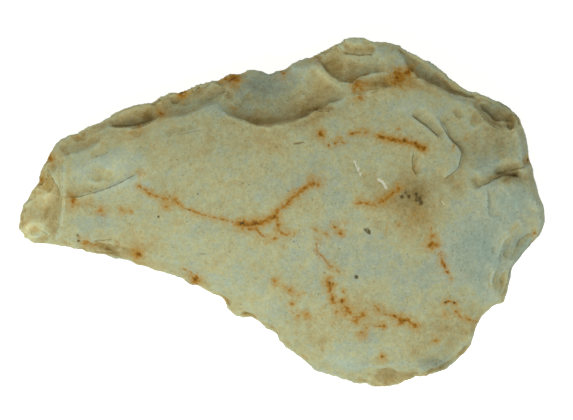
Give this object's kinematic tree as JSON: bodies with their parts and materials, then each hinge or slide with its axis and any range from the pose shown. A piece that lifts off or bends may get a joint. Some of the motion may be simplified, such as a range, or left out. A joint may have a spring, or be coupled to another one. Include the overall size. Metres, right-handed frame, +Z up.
{
  "type": "stone hand axe",
  "caption": "Flat-faced, pear-shaped knapped stone hand axe with a broad butt, a blunt tip, flake scars round its edge and iron stains",
  "frame": {"origin": "middle of the outline seen from above, on the resting plane", "axes": "+X from the blunt tip to the broad butt, +Y towards the straighter long side, +Z up out of the visible face"},
  "size_m": [0.15, 0.1, 0.031],
  "materials": {
    "stone": "dull patinated chert, grey-green to khaki, with orange-brown iron stains"
  },
  "bodies": {
    "root": {"hand_axe": "stone"}
  },
  "joints": []
}
